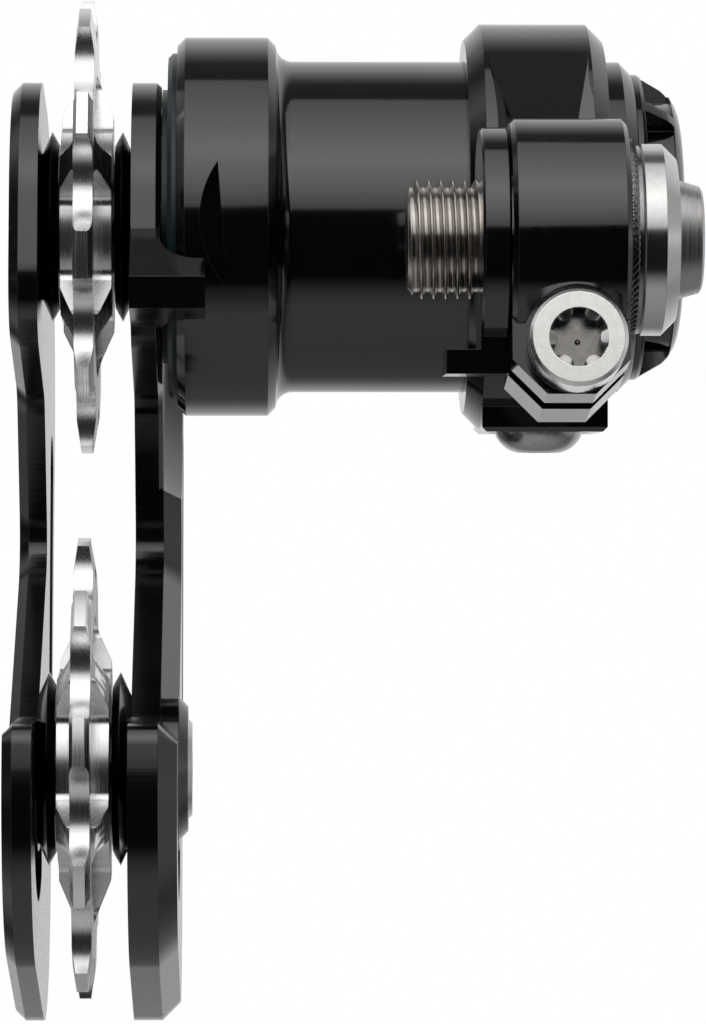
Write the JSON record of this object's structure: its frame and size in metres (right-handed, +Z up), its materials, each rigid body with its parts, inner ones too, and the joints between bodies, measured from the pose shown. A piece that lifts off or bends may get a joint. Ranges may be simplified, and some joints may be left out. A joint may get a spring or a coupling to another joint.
{
  "type": "bicycle chain tensioner",
  "caption": "Sprung chain tensioner: a C-shaped pulley cage swings on a cylindrical spring housing, held in a clamp knuckle that bolts to a derailleur hanger.",
  "frame": {"origin": "on the hanger bolt's axis, at the face of the stop plate that seats against the hanger", "axes": "+X outboard, along the hanger bolt towards its head, +Y forward on the bicycle, +Z up; the cage pivot is parallel to X"},
  "size_m": [0.059, 0.0695, 0.0907],
  "materials": {
    "black_anodised": "satin black anodised aluminium",
    "silver_aluminium": "fine turned",
    "stainless": "turned stainless steel",
    "bearing_steel": "ground",
    "spring_steel": "drawn wire",
    "bush_polymer": "plain bearing polymer",
    "seal": "dark blue-green seal",
    "dust_cap": "gloss black"
  },
  "bodies": {
    "mount": {"hanger_bolt": "stainless", "stop_plate": "black_anodised", "lock_washer": "stainless"},
    "knuckle": {"clamp_knuckle": "black_anodised", "pinch_screw": "stainless", "housing_lock_screw": "stainless"},
    "housing": {"spring_housing": "black_anodised", "end_cap": "black_anodised", "inner_bush": "bush_polymer", "outer_bush": "bush_polymer", "seal_ring": "seal", "stop_dowel": "bearing_steel", "torsion_spring": "spring_steel"},
    "cage": {"pivot_shaft": "stainless", "shaft_circlip": "spring_steel", "spring_collar": "spring_steel", "inner_cage_plate": "black_anodised", "outer_cage_plate": "black_anodised", "upper_pulley_bolt": "stainless", "lower_pulley_bolt": "stainless", "upper_bearing_inner_race": "bearing_steel", "upper_inner_dust_cap": "dust_cap", "upper_outer_dust_cap": "dust_cap", "lower_bearing_inner_race": "bearing_steel", "lower_inner_dust_cap": "dust_cap", "lower_outer_dust_cap": "dust_cap"},
    "upper_pulley": {"upper_pulley_wheel": "silver_aluminium", "upper_bearing_outer_race": "bearing_steel", "upper_bearing_balls": "bearing_steel", "upper_bearing_shields": "dust_cap"},
    "lower_pulley": {"lower_pulley_wheel": "silver_aluminium", "lower_bearing_outer_race": "bearing_steel", "lower_bearing_balls": "bearing_steel", "lower_bearing_shields": "dust_cap"}
  },
  "joints": [
    {"name": "knuckle_tilt", "type": "hinge", "parent": "mount", "child": "knuckle", "pos_m": [0, 0, 0], "axis": [1, 0, 0], "range_deg": [-20, 20]},
    {"name": "chainline_slide", "type": "slide", "parent": "knuckle", "child": "housing", "axis": [1, 0, 0], "range_m": [-0.003, 0.003]},
    {"name": "cage_swing", "type": "hinge", "parent": "housing", "child": "cage", "pos_m": [0, 0.027, 0.0025], "axis": [1, 0, 0], "range_deg": [0, 90], "stiffness_Nm_per_rad": 0.12, "springref_deg": -57.3, "deforming": ["torsion_spring"]},
    {"name": "upper_spin", "type": "hinge", "parent": "cage", "child": "upper_pulley", "pos_m": [0, 0.027, 0.0025], "axis": [1, 0, 0], "continuous": true},
    {"name": "lower_spin", "type": "hinge", "parent": "cage", "child": "lower_pulley", "pos_m": [0, 0.01803, -0.04496], "axis": [1, 0, 0], "continuous": true}
  ]
}
